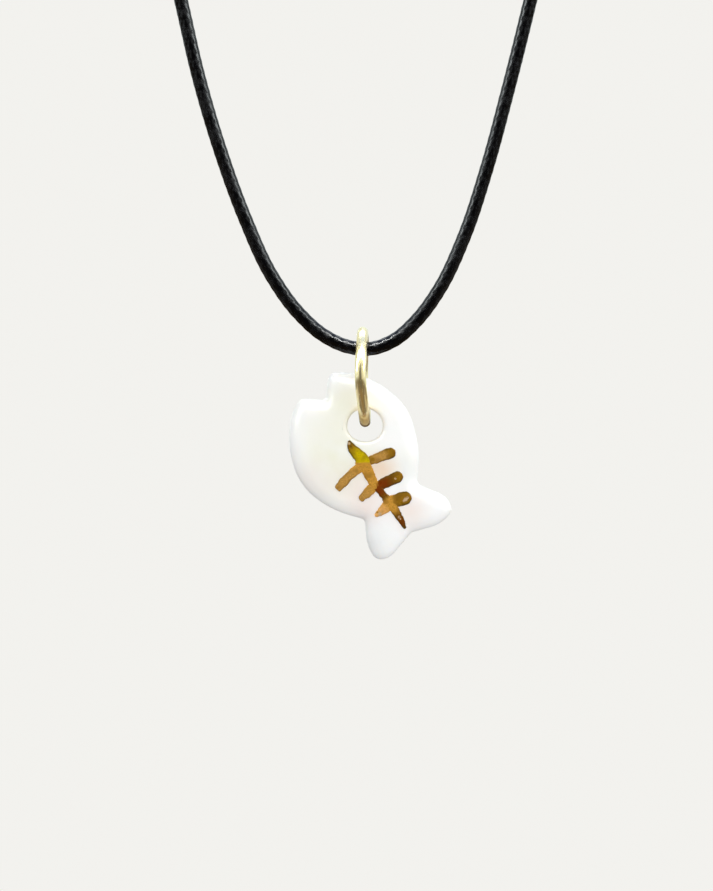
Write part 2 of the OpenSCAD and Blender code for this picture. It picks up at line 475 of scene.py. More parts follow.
def waxed_finish():
    finish, tree, surface = new_finish("waxed_cord")
    place = add(tree, "ShaderNodeTexCoord").outputs
    around, along, _ = split(tree, place["UV"])
    across, lengthwise = strand_place(around, along)
    crest = strand_height(across, lengthwise)
    threads = (across * (2 * math.pi * THREADS_PER_STRAND)).rule("COSINE")
    blotch = speckle(tree, place["Object"], BLOTCHES_PER_M, seed=1.0)
    grain = speckle(tree, place["Object"], GRAINS_PER_M, seed=2.0)
    lumps = speckle(tree, place["Object"], LUMPS_PER_M, detail=0.0, seed=10.0)
    worn = crest.between(*WORN_CRESTS) * blotch.between(*SPECKLE_SPAN)
    fill(tree, surface, {
        "Base Color": mix_colour(tree, worn, WAX_BLACK, WAX_WORN),
        "Roughness": blotch.between(*WIDE_SPAN) * WAX_UNEVEN + WAX_ROUGH,
        "Specular IOR Level": 0.2,
    })
    height = crest + threads * THREAD_SHARE + grain * GRAIN_SHARE + lumps * LUMP_SHARE
    raise_surface(tree, surface, height, WAX_BUMP)
    return finish


waxed_cord = waxed_finish()
print("cord's finish has", len(waxed_cord.node_tree.nodes), "nodes")

# %% [markdown]
# ## Measuring a piece
#
# Every piece ends as a plain mesh, because a plain mesh is what can be measured, moved with a body and
# exported. Its volume tells two things: whether its faces point outwards, since it is negative when they
# point in, and whether the piece is as full as the construction's solid, whose volumes are printed first.

# %% Measure a piece
def volume(mesh):
    """The space inside a closed mesh: negative when its faces point inwards."""
    solid = bmesh.new()
    solid.from_mesh(mesh)
    inside = solid.calc_volume(signed=True)
    solid.free()
    return inside


def finished_piece(name, mesh):
    """Puts a mesh in the scene as a piece, and prints what it measures."""
    piece = bpy.data.objects.new(name, mesh)
    bpy.context.scene.collection.objects.link(piece)
    mesh.calc_loop_triangles()
    spots = np.array([corner.co for corner in mesh.vertices])
    size = np.round((spots.max(0) - spots.min(0)) / MM, 2)
    triangles = len(mesh.loop_triangles)
    print(name, "is", size, "mm,", triangles, "triangles,", round(volume(mesh) / MM**3, 1), "mm3")
    return piece


for node, solid in sorted(frame["nodes"].items()):
    print("solid", node, "holds", round(volume(solid.data) / MM**3, 1), "mm3")

# %% [markdown]
# ## The clasp, and the cord as one piece
#
# The closure lies behind the neck, where the picture doesn't reach. It is made as one plain turned piece: a
# smooth barrel with a cap at each end that the cord goes into. A lathe makes such a part from half its
# outline, and so does the function here, which turns a short list of distances and radii round the clasp's
# length. Small bevels at its corners catch the light, as they do on real ones.

# %% Turn the clasp
CLASP_SIDES = 96
CLASP_OUTLINE = [
    # distance from the middle, radius
    (16.0, 0.0), (16.0, 0.78), (15.96, 1.1), (15.86, 1.3), (15.7, 1.45), (15.45, 1.56), (15.1, 1.6),
    (9.0, 1.6), (8.3, 1.61), (8.05, 1.66), (7.6, 1.8), (7.2, 1.93), (6.9, 2.02), (6.4, 2.12), (5.8, 2.18),
    (5.2, 2.2), (2.6, 2.2),
]
clasp_low, clasp_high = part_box("clasp")
clasp_axis_z = (clasp_low.z + clasp_high.z) / 2


def turned(name, outline, sides, axis_z):
    """A part turned round a line along X, closed at both ends, and mirrored about its middle."""
    rows = outline + [(-along, radius) for along, radius in reversed(outline)]
    lathe = bmesh.new()
    rings = []
    for along, radius in rows:
        if radius == 0:
            rings.append([lathe.verts.new((along * MM, 0, axis_z))])
            continue
        turns = [2 * math.pi * side / sides for side in range(sides)]
        rings.append([
            lathe.verts.new((along * MM, radius * MM * math.cos(turn), axis_z + radius * MM * math.sin(turn)))
            for turn in turns
        ])
    for first, second in zip(rings, rings[1:]):
        for side in range(sides):
            after = (side + 1) % sides
            face = [ring[spot % len(ring)] for ring in (first, second) for spot in (side, after)]
            lathe.faces.new(dict.fromkeys((face[0], face[1], face[3], face[2])))
    bmesh.ops.recalc_face_normals(lathe, faces=lathe.faces)
    for face in lathe.faces:
        face.smooth = True
    mesh = bpy.data.meshes.new(name)
    lathe.to_mesh(mesh)
    lathe.free()
    return finished_piece(name, mesh)


clasp = turned("plain_clasp", CLASP_OUTLINE, CLASP_SIDES, clasp_axis_z)
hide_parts("clasp")
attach(clasp, "necklace")

# %% [markdown]
# A piece that grows from a line starts as a mesh of bare edges. The tree runs on it as a modifier, whose
# sizes are set by the entries' identifiers, and the result is copied into a plain mesh before the modifier
# is taken off.

# %% Grow a piece from a line
def wire_mesh(name, points, edges):
    """An object of bare edges, which a tree turns into a curve."""
    mesh = bpy.data.meshes.new(name)
    mesh.from_pydata(points, edges, [])
    line = bpy.data.objects.new(name, mesh)
    bpy.context.scene.collection.objects.link(line)
    return line


def grow(name, line, tree, sizes):
    """Runs a tree on a line, and gives its result as a plain mesh piece with outward faces."""
    modifier = line.modifiers.new(name, "NODES")
    modifier.node_group = tree
    for entry in tree.interface.items_tree:
        if entry.in_out == "INPUT" and entry.name in sizes:
            modifier[entry.identifier] = sizes[entry.name]
    shapes = bpy.context.evaluated_depsgraph_get()
    mesh = bpy.data.meshes.new_from_object(
        line.evaluated_get(shapes), preserve_all_data_layers=True, depsgraph=shapes
    )
    line.modifiers.remove(modifier)
    bpy.data.objects.remove(line)
    mesh.name = name
    if volume(mesh) < 0:
        mesh.flip_normals()
    return finished_piece(name, mesh)


line = wire_mesh("cord_line", cord_line, [(spot, spot + 1) for spot in range(len(cord_line) - 1)])
print("the cord's line has", len(line.data.edges), "steps")

# %% [markdown]
# The braid's tree now runs on the centreline. The cord is one piece over its whole length.

# %% Grow the cord
CORD_SIDES = 32
CORD_RINGS = 2945

cord = grow("braided_cord", line, waxed_braid, {
    "Cord radius": CORD_DIAMETER / 2,
    "Sides": CORD_SIDES,
    "Rings": CORD_RINGS,
    "Braid turn": BRAID_TURN,
    "Relief": BRAID_RELIEF,
    "Finish": waxed_cord,
})
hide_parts("cord")
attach(cord, "necklace")

# %% [markdown]
# ## Light
#
# The light is that of a small white studio. Each kind of ray gets its own picture of the room, painted into
# the world by direction: how far up, right or to the front a ray goes, each from -1 to 1, with the camera
# at the front. Matt light comes evenly from all round, a little stronger from the upper right, which keeps
# white porcelain soft. The camera itself sees a plain off-white.

# %% Open the studio
BACKDROP = (0.893, 0.886, 0.855, 1)
SOFT_HIGH = (1.29, 1.3, 1.3, 1)
SOFT_LOW = (0.69, 0.69, 0.7, 1)
SOFT_RIGHT, SOFT_FRONT = 0.6, 0.5

scene = bpy.context.scene
scene.view_settings.view_transform = "Standard"
studio = bpy.data.worlds.new("studio")
studio.use_nodes = True
studio.cycles.sampling_method = "NONE"
scene.world = studio
room = studio.node_tree
room.nodes.clear()
right, back, up = split(room, add(room, "ShaderNodeTexCoord").outputs["Generated"])
front = back * -1.0
aside = right.rule("ABSOLUTE")
lit = (up + right * SOFT_RIGHT + front * SOFT_FRONT).between(-1.0, 1.0)
soft = mix_colour(room, lit, SOFT_LOW, SOFT_HIGH)
print("matt light is", round(SOFT_HIGH[1] / SOFT_LOW[1], 2), "times stronger from above than from below")

# %% [markdown]
# Gloss is only as good as what it mirrors, so its room has more in it: a broad arch of light round the dark
# camera with a bright band in it, which black wax mirrors in a stripe along its inner side, and dark brown
# below the horizon, which keeps the rest of the wax black. A warm patch of ground and pale patches at the
# sides shape the lower half of the ring. A pair of numbers says where a patch begins and where it is full.

# %% Paint what gloss mirrors
ARCH = (0.95, 1.0, 1.0, 1)
BRIGHT_BAND = (13.0, 14.0, 14.0, 1)
WALLS = (0.9, 1.0, 1.0, 1)
CEILING = (0.78, 0.97, 1.4, 1)
CAMERA_SIDE = (0.05, 0.04, 0.03, 1)
GROUND = (0.23, 0.13, 0.025, 1)
LOW_SIDES = (0.13, 0.085, 0.03, 1)
LOW_WINDOWS = (0.6, 0.56, 0.5, 1)
HORIZON = (-0.14, 0.0)
CEILING_UP = (0.55, 0.85)
ARCH_FRONT = (0.1, 0.35)
CAMERA_FRONT = (0.85, 0.9)
BAND_UP, BAND_STARTS = (0.4, 0.9), (0.12, 0.3)
BAND_BOW, BAND_WIDE, BAND_FADE = 0.3, 0.45, 0.08
GROUND_ASIDE, GROUND_BACK = (0.15, 0.4), (0.1, -0.3)
WINDOW_ASIDE, WINDOW_UP = (0.66, 0.8), (-0.15, -0.4)
WINDOW_FRONT, WINDOW_BACK = (0.45, 0.25), (-0.75, -0.5)

above = mix_colour(room, up.between(*CEILING_UP), WALLS, CEILING)
above = mix_colour(room, front.between(*ARCH_FRONT), above, ARCH)
band_low = up.between(*BAND_UP) * BAND_BOW
band_high = band_low + BAND_WIDE
band = front.between(band_low, band_low + BAND_FADE) * front.between(band_high, band_high - BAND_FADE)
above = mix_colour(room, band * up.between(*BAND_STARTS), above, BRIGHT_BAND)
below = mix_colour(room, aside.between(*GROUND_ASIDE), GROUND, LOW_SIDES)
below = mix_colour(room, front.between(*GROUND_BACK), below, LOW_SIDES)
windows = aside.between(*WINDOW_ASIDE) * up.between(*WINDOW_UP)
windows = windows * front.between(*WINDOW_FRONT) * front.between(*WINDOW_BACK)
below = mix_colour(room, windows, below, LOW_WINDOWS)
mirrored = mix_colour(room, up.between(*HORIZON), below, above)
mirrored = mix_colour(room, front.between(*CAMERA_FRONT), mirrored, CAMERA_SIDE)
ray = add(room, "ShaderNodeLightPath").outputs
glow = mix_colour(room, ray["Is Glossy Ray"], soft, mirrored)
glow = mix_colour(room, ray["Is Camera Ray"], glow, BACKDROP)
sky = add(room, "ShaderNodeBackground", {"Color": glow})
add(room, "ShaderNodeOutputWorld", {"Surface": sky.outputs[0]})
print("the room is painted by", len(room.nodes), "nodes")

# %% [markdown]
# Two long lamps hang overhead, one before and one behind the pendant, for the crisp glints on wax and
# metal. They are left out of matt light, which the room already gives. A lamp's strength is set by how
# bright its face looks.

# %% Hang the lamps
PENDANT_CENTRE = Vector((0, 0, -0.168))
LAMP_AWAY = 0.9
LAMP_COLOUR = (1.0, 0.995, 0.98)


def glint_lamp(name, elevation, long, deep, radiance):
    """A long lamp at a height angle above the camera's side, aimed at the pendant, that only gloss sees."""
    lamp = bpy.data.lights.new(name, "AREA")
    lamp.shape = "RECTANGLE"
    lamp.size = long
    lamp.size_y = deep
    lamp.energy = radiance * math.pi * long * deep
    lamp.color = LAMP_COLOUR
    holder = bpy.data.objects.new(name, lamp)
    angle = math.radians(elevation)
    toward = Vector((0, -math.cos(angle), math.sin(angle)))
    holder.location = PENDANT_CENTRE + toward * LAMP_AWAY
    holder.rotation_mode = "QUATERNION"
    holder.rotation_quaternion = toward.to_track_quat("Z", "Y")
    holder.visible_diffuse = False
    scene.collection.objects.link(holder)


glint_lamp("back_lamp", elevation=122, long=0.8, deep=0.4, radiance=2.4)
glint_lamp("front_lamp", elevation=60, long=0.9, deep=0.025, radiance=360)
print("two lamps hang", LAMP_AWAY, "m from the pendant")

# %% [markdown]
# ## The floor
#
# The floor is a plain pale disc, wide, and far enough below the fish that a camera can also look up from
# above it. Its finish fades to clear towards the rim, so that it has no edge against the backdrop. It is
# left out of reflections and of matt light, which the painted room gives: a darker disc below would turn
# the white fish's lower rim grey.

# %% Lay the floor
FLOOR_DROP = 0.3
FLOOR_RADIUS = 1.8
FLOOR_SIDES = 128
FLOOR_COLOUR = (0.5, 0.495, 0.48, 1)
FADE_FROM, FADE_TO = FLOOR_RADIUS * 0.45, FLOOR_RADIUS * 0.98


def floor_finish():
    finish, tree, surface = new_finish("pale_floor")
    fill(tree, surface, {"Base Color": FLOOR_COLOUR, "Roughness": 0.9, "Specular IOR Level": 0.1})
    reach = distance(tree, add(tree, "ShaderNodeTexCoord").outputs["Object"])
    clear = add(tree, "ShaderNodeBsdfTransparent").outputs[0]
    fade = reach.between(FADE_FROM, FADE_TO)
    soft = add(tree, "ShaderNodeMixShader", {0: fade, 1: surface.outputs[0], 2: clear})
    out = next(node for node in tree.nodes if node.type == "OUTPUT_MATERIAL")
    fill(tree, out, {"Surface": soft.outputs[0]})
    return finish


disc = bmesh.new()
bmesh.ops.create_circle(disc, cap_ends=True, radius=FLOOR_RADIUS, segments=FLOOR_SIDES)
floor_mesh = bpy.data.meshes.new("pale_floor")
disc.to_mesh(floor_mesh)
disc.free()
floor_mesh.materials.append(floor_finish())
floor = bpy.data.objects.new("pale_floor", floor_mesh)
floor.location.z = cad_low.z - FLOOR_DROP
floor.visible_glossy = False
floor.visible_diffuse = False
scene.collection.objects.link(floor)
print("floor lies", FLOOR_DROP, "m under the fish")

# %% [markdown]
# ## The metal
#
# Ring and clasp are brass with a thin gold plate: bright, but clouded by handling, with fine scratches.
# Pulling wire through a die also leaves faint lines along it. They follow the wire, so the finish reads
# their way from the mesh, where the ring's tree will write it. Where the ring's lowest end sits in the fish's
# eye, a duller, darker tan is painted on as shade. The clasp takes a deeper and more satin gold of the same
# kind, because its broad barrel would only glare.

# %% The gold plate
SATIN_GOLD = (0.66, 0.56, 0.34, 1)
# painted shade: a duller, darker tan where the ring's lowest end sits in the fish's eye
EYE_SHADE_GOLD = (0.62, 0.43, 0.17, 1)
EYE_SHADE_REACH, EYE_SHADE_FULL = 2.6 * MM, 0.78 * MM
CLOUDED = (0.85, 0.78, 0.6)
CLOUD_SPAN = (0.8, 1.15)
CLOUDS_PER_M, SCRATCHES_PER_M = 420.0, 2600.0
SCRATCH_STRETCH = (9.0, 1.0, 1.0)
DRAWN_LINES = 4.5
DRAWN_DEPTH = 0.03 * MM
CLOUD_ROUGH = 0.08


def metal_finish(name, colour, roughness, scratch, eye_shade=None):
    """A soft polished plate with clouds, scratches, drawn lines, and painted shade where it sits in an eye.
    """
    finish, tree, surface = new_finish(name)
    place = add(tree, "ShaderNodeTexCoord").outputs["Object"]
    cloud = speckle(tree, place, CLOUDS_PER_M, seed=3.0)
    stretched = add(tree, "ShaderNodeMapping", {"Vector": place, "Scale": SCRATCH_STRETCH}).outputs[0]
    fine = speckle(tree, stretched, SCRATCHES_PER_M, detail=2.0, seed=4.0)
    drawn = add(tree, "ShaderNodeAttribute", attribute_name="drawn_way").outputs["Vector"]
    lines = speckle(tree, drawn, DRAWN_LINES, detail=1.0, seed=11.0)
    darker = (*(part * share for part, share in zip(colour, CLOUDED)), 1)
    body = mix_colour(tree, (cloud + lines).between(*CLOUD_SPAN), darker, colour)
    if eye_shade:
        # painted shade: a darker tan round the ring's lowest end, in the fish's eye
        near = distance(tree, place, eye_shade).between(EYE_SHADE_REACH, EYE_SHADE_FULL)
        body = mix_colour(tree, near * cloud.between(*MOSTLY), body, EYE_SHADE_GOLD)
    fill(tree, surface, {"Base Color": body, "Metallic": 0.85, "Roughness": cloud * CLOUD_ROUGH + roughness})
    raise_surface(tree, surface, fine * (scratch / DRAWN_DEPTH) + lines, DRAWN_DEPTH)
    return finish


clasp_metal = metal_finish("clasp_metal", SATIN_GOLD, roughness=0.4, scratch=0.006 * MM)
clasp.data.materials.append(clasp_metal)
print("clasp's finish has", len(clasp_metal.node_tree.nodes), "nodes")

# %% [markdown]
# ## The jump ring
#
# The ring is round wire bent into a circle and closed. Sweeping a small circle round a large one gives it,
# with no seam in either direction. Closing such a ring with pliers always bends it a little, so its middle
# is bowed to the left by a quarter of a millimetre. The tree also writes how far round the wire and how far
# round the ring each point is, as a way in space that has no jump where the circles close, for the drawn
# lines of the finish.

# %% The tree of the ring
DRAWN_STRETCH = 0.3


def ring_tree():
    tree, entry = new_tree("wire_ring", {
        "Ring radius": "Float", "Wire radius": "Float", "Bend": "Float", "Steps": "Int", "Wire sides": "Int",
        "Finish": "Material",
    })
    way = add(tree, "GeometryNodeSplineParameter").outputs["Factor"]
    hoop, far = keep_value(tree, circle(tree, entry["Steps"], entry["Ring radius"]), "FLOAT", way)
    wire, turn = keep_value(tree, circle(tree, entry["Wire sides"], entry["Wire radius"]), "FLOAT", way)
    ring = add(tree, "GeometryNodeCurveToMesh", {"Curve": hoop, "Profile Curve": wire}).outputs[0]
    height = split(tree, add(tree, "GeometryNodeInputPosition").outputs[0])[0] / entry["Ring radius"]
    bow = (height * height).rule("MINIMUM", 1.0) * -1.0 + 1.0
    aside = joined(tree, z=bow * bow * entry["Bend"])
    bent = add(tree, "GeometryNodeSetPosition", {"Geometry": ring, "Offset": aside}).outputs[0]
    around = Number(tree, turn) * (2 * math.pi)
    onward = (Number(tree, far) * (2 * math.pi)).rule("COSINE") * DRAWN_STRETCH
    drawn = joined(tree, around.rule("COSINE"), around.rule("SINE"), onward)
    marked = store_value(tree, bent, "FLOAT_VECTOR", "POINT", "drawn_way", drawn)
    close_tree(tree, marked, entry["Finish"])
    return tree


wire_ring = ring_tree()
print("ring tree holds", len(wire_ring.nodes), "nodes")

# %% [markdown]
# The ring goes where the construction has it: its centre is the middle of that node's box, it leans a
# little, and it is turned a little, so that its near side shows left of its far side. The tree starts from
# any line, so it is given a short one. Its place goes into the mesh, and the object stays at the origin.

# %% Bend the ring
RING_ACROSS = 10.7 * MM
WIRE_DIAMETER = 1.2 * MM
RING_LEAN = math.radians(1.5)
RING_TURN = math.radians(1.5)
RING_BEND = 0.25 * MM
RING_STEPS, WIRE_SIDES = 240, 48
EYE_SHADE_FORWARD = 1.5 * WIRE_DIAMETER
PALE_GOLD = (0.95, 0.85, 0.54, 1)

ring_low, ring_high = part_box("jump_ring")
ring_centre = (ring_low + ring_high) / 2
# the middle of the painted shade: the ring's lowest end, just in front of it, in the fish's eye
eye_shade_middle = Vector((ring_centre.x, -EYE_SHADE_FORWARD, ring_low.z + WIRE_DIAMETER / 2))
pale_gold = metal_finish("pale_gold", PALE_GOLD, roughness=0.13, scratch=0.003 * MM, eye_shade=eye_shade_middle)
seed_line = wire_mesh("ring_seed", [(0, 0, 0), (0, 0, MM)], [(0, 1)])
ring = grow("jump_ring_wire", seed_line, wire_ring, {
    "Ring radius": (RING_ACROSS - WIRE_DIAMETER) / 2,
    "Wire radius": WIRE_DIAMETER / 2,
    "Bend": -RING_BEND,
    "Steps": RING_STEPS,
    "Wire sides": WIRE_SIDES,
    "Finish": pale_gold,
})
ring.data.transform(
    Matrix.Translation(ring_centre)
    @ Matrix.Rotation(-RING_TURN, 4, "Z")
    @ Matrix.Rotation(-RING_LEAN, 4, "Y")
    @ Matrix.Rotation(math.radians(90), 4, "Y")
)
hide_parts("jump_ring")
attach(ring, "ring")

# %% [markdown]
# ## The fish's outline
#
# The fish was cut from a slab of clay with soft corners, so its outline is a polygon with each corner
# rounded by its own radius. The rows are the construction's: across and up from the middle of the eye, then
# the radius, all in millimetres.

# %% The corners of the fish
FISH_CORNERS = [
    (-4.00, 5.85, 0.85),  # upper lip
    (0.40, 5.60, 9.00),  # forehead
    (4.70, 1.95, 6.00),  # back
    (5.85, -2.80, 10.00),  # back, towards the tail
    (5.45, -6.15, 0.60),  # notch at the root of the right fin
    (8.80, -7.45, 2.10),  # right fin, upper side
    (9.40, -9.15, 1.00),  # right fin, tip
    (7.80, -10.50, 3.00),  # right fin, lower side
    (4.90, -11.30, 0.50),  # notch between the fins
    (2.50, -14.20, 1.60),  # lower fin, right of its tip
    (1.00, -14.20, 0.90),  # lower fin, left of its tip
    (0.10, -12.30, 4.00),  # lower fin, left side
    (0.00, -9.90, 0.40),  # notch at the root of the lower fin
    (-3.70, -8.95, 10.40),  # belly, by the tail
    (-7.05, -6.15, 6.40),  # belly
    (-8.35, -1.65, 9.60),  # breast
    (-7.70, 1.65, 4.00),  # chin
    (-6.85, 3.00, 0.80),  # lower lip
    (-4.10, 2.75, 0.35),  # corner of the mouth
]

fish_across = [row[0] for row in FISH_CORNERS]
print("fish has", len(FISH_CORNERS), "corners, from", min(fish_across), "to", max(fish_across), "mm across")

# %% [markdown]
# Each corner becomes an arc. The same function also draws the outline in by any inset, which gives the
# rings of points that the rounded edge needs.

# %% Round the corners
OUTLINE_STEP = 0.3
SHARPEST = 0.1
FEWEST_STEPS = 5


def to_right(way):
    return Vector((way.y, -way.x))


def turned_by(way, angle):
    return Vector((
        way.x * math.cos(angle) - way.y * math.sin(angle),
        way.x * math.sin(angle) + way.y * math.cos(angle),
    ))


def outline(inset):
    """The arcs of the outline drawn in by an inset, clockwise, in millimetres from the middle of the eye."""
    spots = [Vector(row[:2]) for row in FISH_CORNERS]
    arcs = []
    for i, (across, up, radius) in enumerate(FISH_CORNERS):
        arrive = (spots[i] - spots[i - 1]).normalized()
        leave = (spots[(i + 1) % len(spots)] - spots[i]).normalized()
        bend = math.atan2(arrive.x * leave.y - arrive.y * leave.x, arrive.dot(leave))
        outer = 1 if bend < 0 else -1
        inward = (to_right(arrive) + to_right(leave)) / (1 + arrive.dot(leave))
        r = max(radius - outer * inset, SHARPEST)
        centre = spots[i] + inward * (inset + outer * r)
        steps = max(FEWEST_STEPS, math.ceil(abs(bend) * radius / OUTLINE_STEP))
        arcs.append([
            centre - turned_by(to_right(arrive), bend * step / steps) * outer * r for step in range(steps + 1)
        ])
    return arcs


full_arcs = outline(0)
print("rounded corners have", sum(len(arc) for arc in full_arcs), "points")

# %% [markdown]
# The sides between the arcs are cut into short steps, as many for each inset as for the full outline, so
# that all rings have the same number of points. A last easing takes the marks of compass and ruler off the
# line.

# %% Join the corners
EASINGS = 6


def relaxed(points):
    """A closed outline with its corners eased, each point moved towards the middle of its neighbours."""
    for _ in range(EASINGS):
        points = [
            (before + here * 2 + after) / 4
            for before, here, after in zip(points[-1:] + points[:-1], points, points[1:] + points[:1])
        ]
    return points


def with_sides(arcs, cuts):
    """Joins the rounded corners with straight sides, each cut into its own number of steps."""
    points = []
    for arc, after, parts in zip(arcs, arcs[1:] + arcs[:1], cuts):
        points += arc
        points += [arc[-1].lerp(after[0], part / parts) for part in range(1, parts)]
    return relaxed(points)


side_cuts = [
    max(1, round((after[0] - arc[-1]).length / OUTLINE_STEP))
    for arc, after in zip(full_arcs, full_arcs[1:] + full_arcs[:1])
]
full_outline = with_sides(full_arcs, side_cuts)
print("outline has", len(full_outline), "points")

# %% [markdown]
# ## The fish's soft form
#
# The form follows two measures: how far a point is from the outline, and how far from the middle of the
# eye. The eye was cut by hand, round above and a little flatter below, so the measure is stretched on its
# lower half. Its middle is where the construction has it: on the axis that the fish swings about, and as
# far above the lowest corner as the rows say.

# %% Measure from the outline and the eye
EYE_RADIUS = 1.9
EYE_LOWER_SHARE = 0.85
NO_LENGTH = 1e-12

fish_low, fish_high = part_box("fish_charm")
LOWEST_CORNER = min(row[1] for row in FISH_CORNERS)
EYE_CENTRE = Vector((
    next(joint["pos_m"][0] for joint in frame["joints"] if joint["name"] == "charm_swing"),
    0,
    fish_low.z - LOWEST_CORNER * MM,
))


def distance_to_outline(points):
    """How far each point is from the nearest side of the outline, in millimetres."""
    starts = np.array([tuple(p) for p in full_outline])
    sides = np.roll(starts, -1, axis=0) - starts
    gaps = points[:, None, :] - starts[None]
    share = (gaps * sides).sum(2) / np.maximum((sides * sides).sum(1), NO_LENGTH)
    nearest = gaps - np.clip(share, 0, 1)[:, :, None] * sides
    return np.sqrt((nearest**2).sum(2)).min(1)


def eye_reach(points):
    """How far each point is from the middle of the eye, measured so that the eye's rim is a circle."""
    across, up = points.T
    return np.hypot(across, np.where(up < 0, up / EYE_LOWER_SHARE, up))


print("the eye's middle is at", [round(v / MM, 2) for v in EYE_CENTRE], "mm")

# %% [markdown]
# Glaze and sponging leave no sharp edge: the slab swells up steeply from its outline and then levels off,
# and its faces are never quite flat. So the height of the face above the middle of the slab is a rule of
# how far a point is from the outline, plus a low crown over the whole body, a slow unevenness from the
# hand, and a dip where the rim of the eye rolls into its hole.

# %% The rule of the form
FISH_HALF_THICK = (fish_high.y - fish_low.y) / 2 / MM
EDGE_REACH, EDGE_SQUARE = 1.65, 2.3
CROWN_REACH, CROWN_SQUARE, CROWN_SHARE = 5.0, 2, 0.09
EYE_ROLL = 0.55
HAND_WAVE, HAND_WAVE_SIZE, HAND_WAVE_REACH = 0.035, 2.6, 2.5
BACK_WAVE = 7
BELLY = np.array([(-3.0, -3.0)])


def swell(inside, reach, square):
    """A rounded rise from 0 at the edge to 1 at the reach."""
    left = 1 - np.clip(inside / reach, 0, 1)
    return (1 - left**square) ** (1 / square)


def face_height(points, side):
    """How high a face stands above the slab's middle: side is -1 for the painted face, 1 for the back."""
    inside = distance_to_outline(points)
    edge = swell(inside, EDGE_REACH, EDGE_SQUARE)
    crown = swell(inside, CROWN_REACH, CROWN_SQUARE)
    rise = edge * (1 - CROWN_SHARE) + crown * CROWN_SHARE
    wave = np.array([noise.noise(Vector((x, BACK_WAVE * side, z)) / HAND_WAVE_SIZE) for x, z in points])
    wave = (wave - 0.5) * HAND_WAVE * swell(inside, HAND_WAVE_REACH, CROWN_SQUARE)
    past_hole = np.clip((eye_reach(points) - EYE_RADIUS) / EYE_ROLL, 0, 1)
    roll = EYE_ROLL * (1 - np.sqrt(1 - (1 - past_hole) ** 2))
    return FISH_HALF_THICK * rise + wave - roll


belly_high = face_height(BELLY, -1)[0]
print("fish is", round(2 * FISH_HALF_THICK, 2), "mm thick, and its belly", round(belly_high, 2), "mm high")

# %% [markdown]
# ## The fish's mesh
#
# Rings that follow the outline give a clean edge, and rings round the eye give a clean hole. Between them
# an even hexagonal spread of points is triangulated, which bends softly in every direction. One plan serves
# both faces.

# %% Spread points over a face
EDGE_TURNS = [0, 7, 14, 22, 30, 38, 47, 56, 65]
HEX_STEP = 0.3
HEX_CLEAR = HEX_STEP * 0.6


def edge_inset(turn):
    """How far in the edge's profile has come after a turn of its curve, in degrees."""
    return EDGE_REACH * (1 - math.cos(math.radians(turn)) ** (2 / EDGE_SQUARE))


def inside_polygon(points, polygon):
    """Whether each point lies inside a polygon, by counting the sides to its right."""
    x, z = points.T
    inside = np.zeros(len(points), bool)
    for (x0, z0), (x1, z1) in zip(polygon, np.roll(polygon, -1, axis=0)):
        if z0 != z1:
            inside ^= ((z0 > z) != (z1 > z)) & (x < (x1 - x0) * (z - z0) / (z1 - z0) + x0)
    return inside


def hex_points(polygon, keep_off):
    """An even spread of points inside the last edge ring, clear of it and of the eye's rim."""
    low, high = polygon.min(0), polygon.max(0)
    rows = np.arange(low[1], high[1], HEX_STEP * math.sqrt(3) / 2)
    row = np.arange(low[0], high[0], HEX_STEP)
    spread = np.array([(x + (k % 2) * HEX_STEP / 2, z) for k, z in enumerate(rows) for x in row])
    spread = spread[inside_polygon(spread, polygon)]
    clear = distance_to_outline(spread) > keep_off
    clear &= eye_reach(spread) > EYE_RADIUS + EYE_ROLL + HEX_CLEAR
    return spread[clear]


insets = [edge_inset(turn) for turn in EDGE_TURNS]
print("edge rings lie", [round(inset, 2) for inset in insets], "mm inside the outline")

# %% [markdown]
# The plan joins these points: it lays rings of equal count round the outline and the eye, and asks for
# triangles that keep the last edge ring and the eye's rim as their borders. What lies outside the body or
# over the hole is dropped.

# %% Plan one face
EYE_TURNS = [0, 18, 36, 54, 72, 90]
EYE_SIDES = 72
RIM_SHARE = 0.97
SAME_POINT = 1e-6


def fish_plan():
    """Every point of one face, and the triangles between its last edge ring and the eye's rim."""
    edge_rings = [np.array([tuple(p) for p in with_sides(outline(inset), side_cuts)]) for inset in insets]
    spokes = [2 * math.pi * k / EYE_SIDES for k in range(EYE_SIDES)]
    eye_radii = [EYE_RADIUS + EYE_ROLL * (1 - math.cos(math.radians(turn))) for turn in EYE_TURNS]
    lower = [EYE_LOWER_SHARE if math.sin(spoke) < 0 else 1 for spoke in spokes]
    eye_rings = [
        np.array([(r * math.cos(spoke), r * math.sin(spoke) * share) for spoke, share in zip(spokes, lower)])
        for r in eye_radii
    ]
    inner = hex_points(edge_rings[-1], insets[-1] + HEX_CLEAR)
    border, rim = edge_rings[-1], eye_rings[-1]
    field = np.vstack([border, rim, inner])
    loops = [(k, (k + 1) % len(border)) for k in range(len(border))]
    loops += [(len(border) + k, len(border) + (k + 1) % len(rim)) for k in range(len(rim))]
    planned = geometry.delaunay_2d_cdt([Vector(p) for p in field], loops, [], 0, SAME_POINT)
    spots, _, faces, origins = planned[:4]
    first_of = [origin[0] for origin in origins]
    middles = np.array([np.mean([tuple(spots[v]) for v in face], axis=0) for face in faces])
    wanted = inside_polygon(middles, border) & (eye_reach(middles) > EYE_RADIUS + EYE_ROLL * RIM_SHARE)
    triangles = [[first_of[v] for v in face] for face, keep in zip(faces, wanted) if keep]
    return edge_rings, eye_rings, inner, triangles


edge_rings, eye_rings, inner, triangles = fish_plan()
print("one face has", len(edge_rings) + len(eye_rings), "rings and", len(triangles), "triangles between them")

# %% [markdown]
# The back is the same pattern with its own unevenness. Both faces share the outer ring, and a short wall of
# rings lines the eye hole, so the mesh is closed all round.

# %% Build the fish
WALL_STEPS = 5


